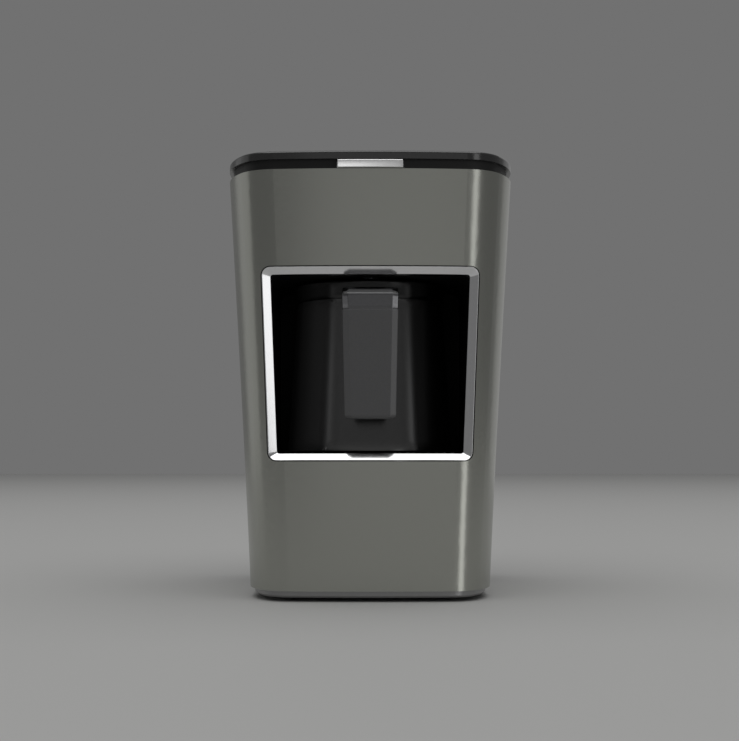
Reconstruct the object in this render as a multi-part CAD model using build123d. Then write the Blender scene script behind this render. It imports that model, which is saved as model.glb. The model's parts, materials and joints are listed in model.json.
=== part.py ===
from build123d import *

import math
import os

# An electric Turkish coffee maker: a free-standing housing with a heated cavity, a pot that
# slides out at the front, a lift-off water tank behind and push keys at the top.
# Millimetres. +Z up, the front faces -Y, the origin is under the middle of the whole object.

# ---- overall -------------------------------------------------------------------------------
overall_height = 280.0
handle_proud = 9.0           # the pot's handle stands this far in front of the shell
key_proud = 1.5              # and the start key this far
pot_axis_depth = 70.0        # from the shell's front to the pot's axis
pot_base_radius = 54.3
pot_back_gap = 5.5           # between the pot and the back of the cavity
liner_wall = 1.6
spine_thickness = 3.0
split_gap = 0.6              # seen between the front housing and the tank
tank_depth = 76.0
gland_proud = 5.0            # the cord gland stands this far behind the plinth
housing_depth = (pot_axis_depth + pot_base_radius + pot_back_gap + liner_wall
                 + spine_thickness)
overall_depth = handle_proud + housing_depth + split_gap + tank_depth + gland_proud
front_y = -overall_depth / 2 + handle_proud
rear_y = overall_depth / 2 - gland_proud
shell_rear_y = front_y + housing_depth
tank_front_y = shell_rear_y + split_gap
spine_y = shell_rear_y - spine_thickness

# ---- plan outline (looking down) -------------------------------------------------------------
top_half_width = 92.6
foot_half_width = 76.9
flare_power = 1.08           # how the sides curve outwards from foot to top
front_radius = 640.0
corner_radius = 27.5
side_radius = 79.0
side_sweep = 30.0            # degrees of the side arc
rear_radius = 26.0
loft_sections = 5

# ---- heights ---------------------------------------------------------------------------------
foot_height = 2.5
shell_bottom = 6.6
slab_thickness = 5.2
band_height = 6.2
slab_bottom = overall_height - slab_thickness
shell_top = slab_bottom - band_height

# ---- walls and clearances --------------------------------------------------------------------
shell_wall = 2.0
tank_wall = 2.2
band_inset = 3.0
band_wall = 2.2
skirt_depth = 6.5
slide_gap = 0.3              # between faces that slide past each other
fit_gap = 0.15               # between fixed neighbours
slab_edge = 1.6              # rounding of the top slab's upper edge
scoop_radius, scoop_rise = 14.0, 11.0    # the finger scoop's sphere, over the slab's rear
far = 500.0                  # well outside the object, for cuts
past = 1.0                   # how far a cut runs past the face that it opens

# ---- window and its bevelled frame -----------------------------------------------------------
frame_outer_bottom = 86.4
frame_height = 121.3
top_bar, bottom_bar = 5.1, 4.8
outer_half_top, outer_half_bottom = 68.6, 63.6
side_bar = 6.0
frame_outer_top = frame_outer_bottom + frame_height
frame_inner_top = frame_outer_top - top_bar
frame_inner_bottom = frame_outer_bottom + bottom_bar
inner_half_top = outer_half_top - side_bar
inner_half_bottom = outer_half_bottom - side_bar
frame_set_back = 5.0         # the inner edge lies this far behind the front's arc
frame_depth = 12.0
frame_corner = 5.6
flare_lead = 4.0             # the cuts that shape the bevels start this far in front
flare_run = 20.0             # run this far past the frame
flare_swing = 12.0           # and turn this many degrees to each side

# ---- heated cavity ---------------------------------------------------------------------------
liner_reveal = 0.7           # the liner stands back this far behind the frame's inner edge
liner_half_width = inner_half_top + liner_reveal
liner_floor = frame_inner_bottom
liner_ceiling = frame_inner_top + liner_reveal
liner_front_y = front_y + frame_depth
liner_corner = 6.0

# ---- pot -------------------------------------------------------------------------------------
pot_y = front_y + pot_axis_depth
pot_neck_radius = 48.2
pot_wall = 1.2
pot_base_thickness = 2.0
pot_base_inset = 3.0
pot_corner = 2.0
pot_lift = 0.15              # running gap over the hot plate
plate_proud = 1.0
pot_bottom = liner_floor + plate_proud + pot_lift
pot_headroom = 1.2           # between the pot and the window's upper edge
rim_height = 11.7
rim_top = frame_inner_top - pot_headroom
rim_bottom = rim_top - rim_height
rim_radius = 48.8
rim_wall = 1.8
lip_reach = 1.6
lip_radius, lip_foot_radius = 9.0, 2.25
lip_hollow_rise = 0.4        # the hollow of a lip is cut this much higher
pot_open_rise = 9.0          # the hollow of the pot runs this far above its rim

# ---- pot handle ------------------------------------------------------------------------------
handle_thickness = 14.0
handle_half_top, handle_half_bottom = 17.5, 15.8
handle_drop = 7.3            # from the pot's rim down to the handle's top
cap_height, band_piece_height, grip_height = 3.0, 11.6, 67.2
handle_top = rim_top - handle_drop
handle_band_top = handle_top - cap_height
handle_band_bottom = handle_band_top - band_piece_height
handle_bottom = handle_band_bottom - grip_height
handle_split = 7.0           # from the handle's face to the joint of its halves
handle_corner, grip_edge, cap_edge = 3.0, 2.4, 1.4
tongue_half_width, tongue_margin = 9.0, 2.0
tang_half_width, tang_half_thickness, tang_length = 6.0, 1.0, 22.0
handle_front_y = front_y - handle_proud
handle_rear_y = handle_front_y + handle_thickness
handle_screw_radius = 1.5
handle_screw_margin = 15.0
handle_screw_reach = 4.0     # how deep a screw goes into the front half
handle_screw_heights = (handle_bottom + handle_screw_margin,
                        handle_band_bottom - handle_screw_margin)

# ---- hot plate and heater --------------------------------------------------------------------
plate_radius = 50.0
plate_flange = 3.5
plate_thickness = 4.0
flange_thickness = 1.4
plate_top = liner_floor + plate_proud
element_radius = 36.0
element_wire = 2.8
element_sweep, terminal_angle = 330.0, 3.0
terminal_radius, terminal_drop = 1.68, 8.4
thermostat_radius = 10.0
thermostat_height = 8.0
blade_place, blade_half_width, blade_half_thickness, blade_length = 5.0, 2.4, 0.4, 4.0
shield_radius = 57.0
shield_wall = 1.0
shield_depth = 16.3
shield_bottom = liner_floor - liner_wall - shield_depth

# ---- base ------------------------------------------------------------------------------------
tray_inset = 3.0
tray_floor = 3.0
tray_top = 16.0
tray_wall = 2.0
tray_chamfer = 1.2
tray_floor_z = foot_height + tray_floor
foot_radius = 8.0
foot_x = foot_half_width - 32.0
foot_front_y, foot_rear_y = front_y + 37.0, rear_y - 32.0
foot_recess = 0.8
leg_radius = 4.0
leg_x = foot_half_width - 21.0
leg_front_y, leg_rear_y = front_y + 27.0, spine_y - 12.0
screw_radius = 1.6
screw_head_radius = 3.2
screw_head = 2.0
screw_grip = 8.0             # how deep a screw reaches into what it holds

# ---- rear plinth and water dock --------------------------------------------------------------
plinth_top = 42.0
plinth_wall = 2.0
vent_count = 7
vent_pitch = 7.0
vent_half_width, vent_height, vent_bottom = 1.6, 16.0, 15.0
vent_x = -16.0
gland_x, gland_z = foot_half_width - 38.0, 24.0
gland_neck, gland_chamfer = 6.0, 1.2
gland_radius, gland_neck_radius, gland_bore_radius = 8.5, 6.0, 3.7
dock_y = (tank_front_y + rear_y) / 2
dock_radius = 14.0
dock_wall = 2.4
dock_depth = 15.0
dock_flange, dock_flange_height = 3.0, 2.0
dock_seal_height, dock_seal_drop = 2.0, 4.0
post_radius = 2.0

# ---- water tank ------------------------------------------------------------------------------
tank_bottom = plinth_top + 1.0
valve_radius = 9.0
valve_wall = 1.6
valve_drop = 8.5             # how far the valve body reaches below the tank
valve_rise = 4.0             # and above the tank's floor
valve_floor = 1.5
valve_flange, valve_spider = 3.0, 1.5
port_radius, port_circle = 1.6, 4.6
valve_hole = 4.4
plunger_stem_radius = 3.6
plunger_disc_radius = 6.4
plunger_disc = 1.8
plunger_pin_radius = 1.5
plunger_pin_top = 3.0        # how far the pin stands above the spider
valve_spring_radius = 3.4
seal_thickness = 0.8
spring_wire = 0.35
spring_turns = 5
rim_notch_gap = 0.6

# ---- tank lid and hinge ----------------------------------------------------------------------
hinge_inset = 2.4            # from the rear of the slab to the hinge axis
hinge_drop = 3.5             # from the underside of the slab to the hinge axis
hinge_y = rear_y - hinge_inset
hinge_z = slab_bottom - hinge_drop
hinge_pin_radius = 1.2
knuckle_radius = 2.2
pin_gap = 0.06               # running fit on the pins
lug_x, lug_width, knuckle_width = 50.0, 6.0, 6.0
lid_gap = 0.2
gasket_inset, gasket_width, gasket_depth = 7.6, 2.0, 2.6

# ---- start key -------------------------------------------------------------------------------
key_half_width = 20.55
key_bottom = shell_top + slide_gap
key_height = 5.2
key_top = key_bottom + key_height
key_gap = 0.5                # dark gap round the bar
key_depth = 8.0
key_edge = 0.8
key_travel = 1.5
key_lip = 2.0                # the bar's rear lip, which keeps it in
key_lip_reach = 1.2
key_front_y = front_y - key_proud
key_rear_y = key_front_y + key_depth + key_lip
stem_radius = 2.0
stem_length = 10.0
stem_gap = 0.08
guide_wall = 2.5
guide_floor = 3.0
guide_gap = 0.8              # between the band and the key's guide
key_spring_length = 4.0
key_spring_radius = 2.4
free_play = 0.3              # between a pressed part and the switch it works
switch_half_width, switch_depth, switch_height = 6.0, 7.0, 6.6
switch_nose_radius, switch_nose = 1.5, 1.6

# ---- cup keys --------------------------------------------------------------------------------
cup_key_count = 3
cup_key_pitch = 30.0
cup_key_y = front_y + 53.0
cup_key_radius = 9.0
cup_key_gap = 0.4
cup_key_travel = 1.2
cup_key_flange, cup_key_flange_reach = 1.6, 1.2
cup_key_crown = 0.8
cup_stem_radius = 2.5

# ---- control board ---------------------------------------------------------------------------
board_thickness = 1.6
board_drop = 11.3            # from the slab's underside to the board's top
board_top = slab_bottom - board_drop
board_half_width = 50.0
board_front_y, board_rear_y = front_y + 31.0, front_y + 95.0
board_inset = 5.0
boss_radius = 3.2
tab_half, tab_height = 7.0, 4.0
tab_inset = 15.0             # from the body's side to the tab's screw
tab_x = top_half_width - tab_inset
tab_front_y, tab_rear_y = front_y + 43.0, shell_rear_y - 24.0
buzzer_x, buzzer_y, buzzer_radius, buzzer_height = 36.0, front_y + 75.0, 6.0, 6.0
buzzer_hole_radius, buzzer_hole_depth = 1.2, 2.0
switch_side = 6.0
switch_rise = 4.2
button_radius, button_rise = 1.75, 1.6
lens_radius = 1.5
lens_y = front_y + 36.0

# ---- water line ------------------------------------------------------------------------------
pump_radius, pump_length = 16.0, 60.0
pump_y, pump_z = pot_y - 25.0, tray_floor_z + 26.5
cushion_width, cushion_wall = 8.0, 4.0
cushion_half, cushion_top = pump_radius + cushion_wall, pump_z + pump_radius + cushion_wall
cushion_x = 22.0
hose_radius, hose_bore = 3.4, 1.8
barb_length = 8.0
hose_clearance = 3.0
inlet_x = -(leg_x + leg_radius + hose_radius + hose_clearance)
inlet_pass_radius = 5.0
riser_x = liner_half_width + liner_wall + hose_radius + hose_clearance
riser_y = pot_y + 38.0
elbow_run = 12.0             # from the pump hose's first bend out to the riser
inlet_bend_radius = 14.0
outlet_bend_radii = (12.0, 18.0, 20.0, 10.0)
riser_bottom, riser_top = pump_z + 28.0, liner_ceiling + 37.0
spout_radius, spout_bore = 3.4, 1.8
spout_y = pot_y + 12.0
spout_top = liner_ceiling + 11.0
cover_radius, cover_flange, cover_flange_height = 26.0, 4.0, 2.0
sensor_y = pot_y - 12.0
sensor_radius = 5.0
sensor_height = 10.0
lamp_y, lamp_radius, lamp_height = front_y + 30.0, 5.0, 8.0
lamp_flange, lamp_flange_height = 2.0, 1.5

# ---- electrics in the base -------------------------------------------------------------------
power_half_width, power_width_y = 47.0, 52.0
relay_row, capacitor_row = 0.35, 0.78    # shares of the board's depth
power_y1 = spine_y - 6.0
power_y0 = power_y1 - power_width_y
power_z = tray_top + 2.0
relay_size, relay_length, relay_x = 16.0, 20.0, -30.0
transformer_width, transformer_height, transformer_x = 24.0, 20.0, 4.0
capacitor_radius, capacitor_height, capacitor_x = 5.5, 22.0, 30.0
power_board_thickness = 1.6
terminal_length, terminal_width, terminal_height = 26.0, 14.0, 14.0
terminal_y = rear_y - 38.0
terminal_pole_radius, terminal_pole_depth, terminal_pitch = 2.2, 5.0, 8.0


# ---- helpers ---------------------------------------------------------------------------------
def block(x0, x1, y0, y1, z0, z1):
    """A box between two corners."""
    middle = ((x0 + x1) / 2, (y0 + y1) / 2, (z0 + z1) / 2)
    return Pos(*middle) * Box(x1 - x0, y1 - y0, z1 - z0)


def disc(radius, z0, z1, x=0.0, y=0.0):
    """An upright cylinder."""
    return Pos(x, y, (z0 + z1) / 2) * Cylinder(radius, z1 - z0)


def ring(outer, inner, z0, z1, x=0.0, y=0.0):
    """An upright tube."""
    return disc(outer, z0, z1, x, y) - disc(inner, z0 - 1, z1 + 1, x, y)


def rod_y(radius, y0, y1, x, z):
    """A cylinder along Y."""
    return Pos(x, (y0 + y1) / 2, z) * Rot(90, 0, 0) * Cylinder(radius, y1 - y0)


def rod_x(radius, x0, x1, y, z):
    """A cylinder along X."""
    return Pos((x0 + x1) / 2, y, z) * Rot(0, 90, 0) * Cylinder(radius, x1 - x0)


def half_width(z):
    """Half the body's width at height z."""
    rise = min(max((z - shell_bottom) / (shell_top - shell_bottom), 0.0), 1.0)
    return foot_half_width + (top_half_width - foot_half_width) * rise ** flare_power


def round_corner(z):
    """The radii of the side and corner arcs at height z, and the corner's centre."""
    scale = half_width(z) / top_half_width
    side, corner = side_radius * scale, corner_radius * scale
    corner_x = half_width(z) - side + (side - corner) * math.cos(math.radians(side_sweep))
    reach = math.sqrt((front_radius - corner) ** 2 - corner_x ** 2)
    return side, corner, corner_x, front_y + front_radius - reach


def outline(z, inset=0.0):
    """The body's plan at height z, drawn inset from its outer face."""
    width = half_width(z)
    side, corner, corner_x, corner_y = round_corner(z)
    side_x = width - side
    front_centre = front_y + front_radius
    side_y = corner_y + (side - corner) * math.sin(math.radians(side_sweep))
    front_angle = math.degrees(math.atan2(corner_y - front_centre, corner_x))
    half = [
        CenterArc((0, front_centre), front_radius - inset, -90, front_angle + 90),
        CenterArc((corner_x, corner_y), corner - inset, front_angle, -side_sweep - front_angle),
        CenterArc((side_x, side_y), side - inset, -side_sweep, side_sweep),
        Line((width - inset, side_y), (width - inset, rear_y - rear_radius)),
        CenterArc((width - rear_radius, rear_y - rear_radius), rear_radius - inset, 0, 90),
        Line((width - rear_radius, rear_y - inset), (0, rear_y - inset)),
    ]
    other_half = [edge.mirror(Plane.YZ) for edge in half]
    return make_face(half + other_half)


def body(z0, z1, inset=0.0):
    """The whole body's volume between two heights, inset from its outer face."""
    if half_width(z0) == half_width(z1):
        return Pos(0, 0, z0) * extrude(outline(z0, inset), z1 - z0)
    heights = [z0 + (z1 - z0) * i / (loft_sections - 1) for i in range(loft_sections)]
    return loft([Pos(0, 0, z) * outline(z, inset) for z in heights])


def before(y, z0, z1):
    """The space in front of a plane."""
    return block(-far, far, -far, y, z0 - past, z1 + past)


def behind(y, z0, z1):
    """The space behind a plane."""
    return block(-far, far, y, far, z0 - past, z1 + past)


def front_part(z0, z1, inset=0.0, back_inset=0.0):
    """The volume of the front housing, which ends ahead of the tank."""
    return body(z0, z1, inset) & before(shell_rear_y - back_inset, z0, z1)


def tank_part(z0, z1, inset=0.0, front_inset=None):
    """The volume of the tank, which starts at its flat front."""
    front = inset if front_inset is None else front_inset
    return body(z0, z1, inset) & behind(tank_front_y + front, z0, z1)


def facing(y):
    """A drawing plane that faces the front, at depth y."""
    return Plane(origin=(0, y, 0), x_dir=(1, 0, 0), z_dir=(0, -1, 0))


def trapezoid(half_bottom, half_top, z0, z1, corner=0.0):
    """A symmetric trapezoid, in X and Z."""
    shape = make_face(Polyline((-half_bottom, z0), (half_bottom, z0), (half_top, z1),
                               (-half_top, z1), close=True))
    return fillet(shape.vertices(), corner) if corner else shape


def window(grow, y0, y1):
    """The window's outer outline, grown all round, as a prism along Y."""
    shape = trapezoid(outer_half_bottom + grow, outer_half_top + grow,
                      frame_outer_bottom - grow, frame_outer_top + grow, frame_corner + grow)
    return extrude(facing(y1) * shape, y1 - y0)


def hose(points, radii):
    """A hose along straight runs joined by arcs."""
    path = FilletPolyline(*points, radius=radii)
    start = Plane(origin=path @ 0, z_dir=path % 0)
    return sweep(start * (Circle(hose_radius) - Circle(hose_bore)), path=path)


def coil(radius, z0, z1, x=0.0, y=0.0):
    """A compression spring that stands upright."""
    height = z1 - z0 - 2 * spring_wire
    path = Helix(pitch=height / spring_turns, height=height, radius=radius)
    start = Plane(origin=path @ 0, z_dir=path % 0)
    return Pos(x, y, z0 + spring_wire) * sweep(start * Circle(spring_wire), path=path)


# ---- housing ---------------------------------------------------------------------------------
def outer_shell():
    wrap = front_part(shell_bottom, shell_top) - body(shell_bottom - 1, shell_top + 1, shell_wall)
    return wrap - window(fit_gap, front_y - 5, front_y + 30)


def sagitta(x):
    """How far the curved front falls back at x."""
    return front_radius - math.sqrt(front_radius ** 2 - x ** 2)


def corner_fall(x, z):
    """How far the rounded corner falls back at x, at height z."""
    _, corner, corner_x, corner_y = round_corner(z)
    return corner_y - math.sqrt(corner ** 2 - (x - corner_x) ** 2) - front_y


def side_flare():
    """The space between the frame's two sloping sides."""
    lead, tall = flare_lead, flare_run
    outer_fall = (corner_fall(outer_half_top, frame_outer_top)
                  + corner_fall(outer_half_bottom, frame_outer_bottom)) / 2
    inner_fall = sagitta((inner_half_top + inner_half_bottom) / 2) + frame_set_back
    slope = side_bar / (inner_fall - outer_fall)
    grow = slope * (outer_fall + lead)
    taper = (outer_half_top - outer_half_bottom) / (frame_outer_top - frame_outer_bottom)
    z0, z1 = frame_outer_bottom - tall, frame_outer_top + tall
    end_y = front_y + frame_depth + tall

    def sides(y, bottom, top):
        return facing(y) * trapezoid(bottom - tall * taper, top + tall * taper, z0, z1)

    bevel_end = front_y + inner_fall
    flare = loft([sides(front_y - lead, outer_half_bottom + grow, outer_half_top + grow),
                  sides(bevel_end, inner_half_bottom, inner_half_top)])
    return flare + extrude(sides(end_y, inner_half_bottom, inner_half_top), end_y - bevel_end)


def level_flare():
    """The space between the frame's sloping top and bottom, curved like the front."""
    lead = flare_lead
    top_slope, bottom_slope = top_bar / frame_set_back, bottom_bar / frame_set_back
    end_y = front_y + frame_depth + flare_run
    section = make_face(Polyline((front_y - lead, frame_outer_top + lead * top_slope),
                                 (front_y + frame_set_back, frame_inner_top),
                                 (end_y, frame_inner_top),
                                 (end_y, frame_inner_bottom),
                                 (front_y + frame_set_back, frame_inner_bottom),
                                 (front_y - lead, frame_outer_bottom - lead * bottom_slope),
                                 close=True))
    axis = Axis((0, front_y + front_radius, 0), (0, 0, 1))
    face = (Plane.YZ * section).rotate(axis, -flare_swing)
    return revolve(face, axis=axis, revolution_arc=2 * flare_swing)


def window_frame():
    blank = window(0, front_y - 5, front_y + frame_depth)
    blank = blank & body(frame_outer_bottom - 5, frame_outer_top + 5)
    return blank - (side_flare() & level_flare())


def cavity_liner():
    x, wall = liner_half_width, liner_wall
    outer = block(-x - wall, x + wall, liner_front_y, spine_y,
                  liner_floor - wall, liner_ceiling + wall)
    inner = block(-x, x, liner_front_y - 1, spine_y - wall, liner_floor, liner_ceiling)
    outer = fillet(outer.edges().filter_by(Axis.Y), liner_corner + wall)
    inner = fillet(inner.edges().filter_by(Axis.Y), liner_corner)
    liner = outer - inner
    liner -= disc(plate_radius + slide_gap, liner_floor - wall - 1, liner_floor + 1, 0, pot_y)
    top = (liner_ceiling - 1, liner_ceiling + wall + 1)
    liner -= disc(cover_radius + fit_gap, *top, 0, pot_y)
    return liner - disc(lamp_radius + fit_gap, *top, 0, lamp_y)


def spine_wall():
    bottom = tray_top + fit_gap
    plate = body(bottom, shell_top, shell_wall + fit_gap)
    plate &= block(-far, far, spine_y, shell_rear_y, bottom - past, shell_top + past)
    return plate - rod_y(inlet_pass_radius, spine_y - 1, shell_rear_y + 1, inlet_x, hose_z())


def feet_places():
    return [(x, y) for x in (-foot_x, foot_x) for y in (foot_front_y, foot_rear_y)]


def leg_places():
    return [(x, y) for x in (-leg_x, leg_x) for y in (leg_front_y, leg_rear_y)]


def power_posts():
    return [(x, y) for x in (-power_half_width + board_inset, power_half_width - board_inset)
            for y in (power_y0 + board_inset, power_y1 - board_inset)]


def base_tray():
    floor = body(foot_height, shell_bottom, tray_inset)
    floor = chamfer(floor.faces().sort_by(Axis.Z)[0].edges(), tray_chamfer)
    nest = shell_wall + fit_gap
    wall = body(shell_bottom, tray_top, nest) - body(shell_bottom - 1, tray_top + 1,
                                                     nest + tray_wall)
    tray = floor - body(tray_floor_z, shell_bottom + 1, nest + tray_wall) + wall
    for x, y in feet_places():
        tray -= disc(foot_radius + fit_gap, foot_height - 1, foot_height + foot_recess, x, y)
    for x, y in power_posts():
        tray += disc(boss_radius, tray_floor_z, power_z, x, y)
    for x, y in leg_places():
        tray -= disc(screw_head_radius + fit_gap, foot_height - 1, foot_height + screw_head, x, y)
        tray -= disc(screw_radius + fit_gap, foot_height, tray_floor_z + 1, x, y)
    return tray


def liner_legs():
    legs = []
    for x, y in leg_places():
        leg = disc(leg_radius, tray_floor_z, liner_floor - liner_wall, x, y)
        legs.append(leg - disc(screw_radius, tray_floor_z - 1, tray_floor_z + screw_grip, x, y))
    return legs


def base_screws():
    return [screw(x, y, foot_height, tray_floor_z + screw_grip) for x, y in leg_places()]


def rubber_feet():
    return [disc(foot_radius, 0, foot_height + foot_recess, x, y) for x, y in feet_places()]


def rear_plinth():
    shape = body(shell_bottom, plinth_top) & behind(shell_rear_y, shell_bottom, plinth_top)
    hollow = body(shell_bottom - 1, plinth_top - plinth_wall, plinth_wall)
    shape -= hollow & behind(shell_rear_y - 1, shell_bottom - 1, plinth_top)
    shape -= disc(dock_radius + fit_gap, plinth_top - plinth_wall - 1, plinth_top + 1, 0, dock_y)
    rear_cut = (rear_y - plinth_wall - past, rear_y + past)
    shape -= rod_y(gland_neck_radius + fit_gap, *rear_cut, gland_x, gland_z)
    for i in range(vent_count):
        x = vent_x + (i - (vent_count - 1) / 2) * vent_pitch
        shape -= block(x - vent_half_width, x + vent_half_width, *rear_cut,
                       vent_bottom, vent_bottom + vent_height)
    return shape


def top_collar():
    nest = shell_wall + fit_gap
    back = spine_thickness + fit_gap
    z0, z1 = shell_top - skirt_depth, shell_top
    skirt = front_part(z0, z1, nest, back) - front_part(z0 - 1, z1 + 1, nest + band_wall,
                                                        back + band_wall)
    band = front_part(shell_top, slab_bottom, band_inset)
    band -= front_part(shell_top - 1, slab_bottom + 1, band_inset + band_wall, band_wall)
    reach = key_half_width + key_gap
    band -= block(-reach, reach, front_y - 5, front_y + 20, shell_top, slab_bottom + 1)
    collar = skirt + band
    for x, y in tab_places():
        inner = x - math.copysign(tab_half, x)
        tab = block(*sorted((inner, math.copysign(far, x))), y - tab_half, y + tab_half,
                    shell_top - tab_height, shell_top)
        tab &= front_part(z0, z1, nest, back)
        collar += tab - disc(screw_radius + fit_gap, z0 - 1, z1 + 1, x, y)
    return collar


def tab_places():
    return [(x, y) for x in (-tab_x, tab_x) for y in (tab_front_y, tab_rear_y)]


def rounded_slab(slab, flat_y):
    """A slab with its upper edge rounded, except where it meets its neighbour."""
    edges = slab.faces().sort_by(Axis.Z)[-1].edges()
    return fillet([e for e in edges if abs(e.center().Y - flat_y) > 0.5], slab_edge)


def control_deck():
    deck = rounded_slab(front_part(slab_bottom, overall_height), shell_rear_y)
    for x in cup_key_places():
        deck -= disc(cup_key_radius + cup_key_gap, slab_bottom - 1, overall_height + 1,
                     x, cup_key_y)
        deck -= disc(lens_radius + fit_gap, slab_bottom - 1, overall_height + 1, x, lens_y)
    for x, y in board_posts():
        post = disc(boss_radius, board_top, slab_bottom, x, y)
        deck += post - disc(screw_radius, board_top - 1, board_top + screw_grip, x, y)
    for x, y in tab_places():
        post = disc(boss_radius, shell_top, slab_bottom, x, y)
        deck += post
        deck -= disc(screw_radius, shell_top - 1, shell_top + screw_grip, x, y)
    return deck - Pos(0, shell_rear_y, overall_height + scoop_rise) * Sphere(scoop_radius)


def screw(x, y, z_head, z_tip):
    """An upright screw, put in from below."""
    head = disc(screw_head_radius, z_head, z_head + screw_head, x, y)
    return head + disc(screw_radius, z_head + screw_head, z_tip, x, y)


def deck_screws():
    seat = shell_top - tab_height
    return [screw(x, y, seat - screw_head, shell_top + screw_grip) for x, y in tab_places()]


# ---- heating ---------------------------------------------------------------------------------
def hot_plate():
    bottom = plate_top - plate_thickness
    plate = disc(plate_radius, bottom, plate_top, 0, pot_y)
    flange_top = liner_floor - liner_wall
    return plate + disc(plate_radius + plate_flange, flange_top - flange_thickness, flange_top,
                        0, pot_y)


def heating_element():
    z = plate_top - plate_thickness - element_wire
    section = Plane.XZ * (Pos(element_radius, z) * Circle(element_wire))
    loop = revolve(section, axis=Axis.Z, revolution_arc=element_sweep)
    for angle in (terminal_angle, element_sweep - terminal_angle):
        x = element_radius * math.cos(math.radians(angle))
        y = element_radius * math.sin(math.radians(angle))
        loop += disc(terminal_radius, z - terminal_drop, z, x, y)
    return Pos(0, pot_y, 0) * Rot(0, 0, 90 - element_sweep / 2) * loop


def thermostat():
    top = plate_top - plate_thickness
    can = disc(thermostat_radius, top - thermostat_height, top, 0, pot_y)
    bottom = top - thermostat_height
    for x in (-blade_place, blade_place):
        can += block(x - blade_half_width, x + blade_half_width, pot_y - blade_half_thickness,
                     pot_y + blade_half_thickness, bottom - blade_length, bottom)
    return can


def heat_shield():
    top = liner_floor - liner_wall
    cup = disc(shield_radius, shield_bottom, top, 0, pot_y)
    return cup - disc(shield_radius - shield_wall, shield_bottom + shield_wall, top + 1, 0, pot_y)


# ---- brew head -------------------------------------------------------------------------------
def brew_head_cover():
    seat = liner_ceiling + liner_wall
    cover = disc(cover_radius, liner_ceiling, seat, 0, pot_y)
    cover += disc(cover_radius + cover_flange, seat, seat + cover_flange_height, 0, pot_y)
    cover -= disc(spout_radius + fit_gap, liner_ceiling - 1, seat + 5, 0, spout_y)
    return cover - disc(sensor_radius + fit_gap, liner_ceiling - 1, seat + 5, 0, sensor_y)


def water_spout():
    return ring(spout_radius, spout_bore, liner_ceiling, spout_top, 0, spout_y)


def sensor_window():
    return disc(sensor_radius, liner_ceiling, liner_ceiling + sensor_height, 0, sensor_y)


def cavity_lamp():
    seat = liner_ceiling + liner_wall
    lamp = disc(lamp_radius, liner_ceiling, liner_ceiling + lamp_height, 0, lamp_y)
    return lamp + disc(lamp_radius + lamp_flange, seat, seat + lamp_flange_height, 0, lamp_y)


# ---- water line ------------------------------------------------------------------------------
def pump_body():
    end = pump_length / 2
    pump = rod_x(pump_radius, -end, end, pump_y, pump_z)
    for x0, x1 in ((-end - barb_length, -end), (end, end + barb_length)):
        pump += rod_x(hose_bore, x0, x1, pump_y, pump_z)
    return pump


def pump_cushions():
    cushions = []
    for x in (-cushion_x, cushion_x):
        pad = block(x - cushion_width / 2, x + cushion_width / 2, pump_y - cushion_half,
                    pump_y + cushion_half, tray_floor_z, cushion_top)
        cushions.append(pad - rod_x(pump_radius, x - cushion_width, x + cushion_width,
                                    pump_y, pump_z))
    return cushions


def hose_z():
    """The height at which the inlet hose leaves the dock."""
    return pump_z


def inlet_hose():
    start = -dock_radius
    return hose([(start, dock_y, hose_z()), (inlet_x, dock_y, hose_z()),
                 (inlet_x, pump_y, hose_z()), (-pump_length / 2, pump_y, pump_z)],
                [inlet_bend_radius] * 2)


def outlet_hose():
    elbow_x = riser_x - elbow_run
    return hose([(pump_length / 2, pump_y, pump_z), (elbow_x, pump_y, pump_z),
                 (riser_x, riser_y, riser_bottom), (riser_x, riser_y, riser_top),
                 (0, spout_y, riser_top), (0, spout_y, spout_top)], outlet_bend_radii)


def tank_dock():
    bottom = plinth_top - dock_depth
    seat = plinth_top - plinth_wall
    cup = disc(dock_radius, bottom, plinth_top, 0, dock_y)
    cup -= disc(dock_radius - dock_wall, bottom + dock_wall, plinth_top + 1, 0, dock_y)
    cup += disc(post_radius, bottom, tank_bottom - valve_drop - slide_gap, 0, dock_y)
    cup += ring(dock_radius + dock_flange, dock_radius - 0.5, seat - dock_flange_height, seat,
                0, dock_y)
    passage = rod_x(hose_bore, -dock_radius - 1, -dock_radius + dock_wall + 1, dock_y, hose_z())
    return cup - passage


def dock_seal():
    top = plinth_top - dock_seal_drop
    return ring(dock_radius - dock_wall, valve_radius + slide_gap, top - dock_seal_height, top,
                0, dock_y)


# ---- electrics -------------------------------------------------------------------------------
def power_board():
    return block(-power_half_width, power_half_width, power_y0, power_y1, power_z,
                 power_z + power_board_thickness)


def power_components():
    z = power_z + power_board_thickness
    y = power_y0 + power_width_y * relay_row
    relay = Pos(relay_x, y, z + relay_size / 2) * Box(relay_length, relay_size, relay_size)
    transformer = Pos(transformer_x, y, z + transformer_height / 2) * Box(
        transformer_width, transformer_width, transformer_height)
    y = power_y0 + power_width_y * capacitor_row
    capacitors = [disc(capacitor_radius, z, z + capacitor_height, x, y)
                  for x in (-capacitor_x, capacitor_x)]
    return [relay, transformer, *capacitors]


def terminal_block():
    x = gland_x
    shape = block(x - terminal_length / 2, x + terminal_length / 2,
                  terminal_y - terminal_width / 2, terminal_y + terminal_width / 2,
                  tray_floor_z, tray_floor_z + terminal_height)
    top = tray_floor_z + terminal_height
    for dx in (-terminal_pitch, 0, terminal_pitch):
        shape -= disc(terminal_pole_radius, top - terminal_pole_depth, top + past, x + dx,
                      terminal_y)
    return shape


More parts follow.
